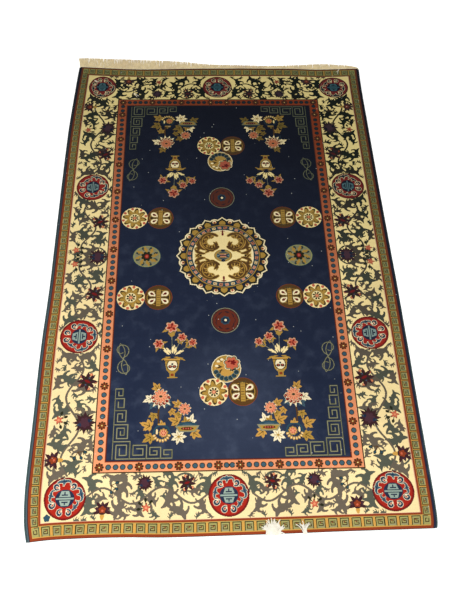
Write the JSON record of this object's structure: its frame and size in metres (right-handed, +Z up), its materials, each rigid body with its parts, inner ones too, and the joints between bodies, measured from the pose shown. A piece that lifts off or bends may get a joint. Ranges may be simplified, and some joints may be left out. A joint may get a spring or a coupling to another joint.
{
  "type": "hand-knotted rug",
  "caption": "Flat knotted pile carpet with overcast sides, a flat-woven end and a warp fringe, lying on the floor.",
  "frame": {"origin": "centre of the footprint, on the underside that lies on the floor", "axes": "+Z up out of the pile, +Y along the length towards the fringed end, +X to the right seen from above with +Y away"},
  "size_m": [1.2512, 2.0226, 0.009],
  "materials": {
    "pile": "cut wool pile in many dyed colours, matt with a faint nap sheen",
    "selvedge": "overcast dark blue wool, matt",
    "web": "plain-woven undyed cotton, matt",
    "fringe": "twisted undyed cotton warp ends, matt"
  },
  "bodies": {
    "root": {"carpet": "pile", "selvedge_left": "selvedge", "selvedge_right": "selvedge", "end_web": "web", "fringe": "fringe"}
  },
  "joints": []
}
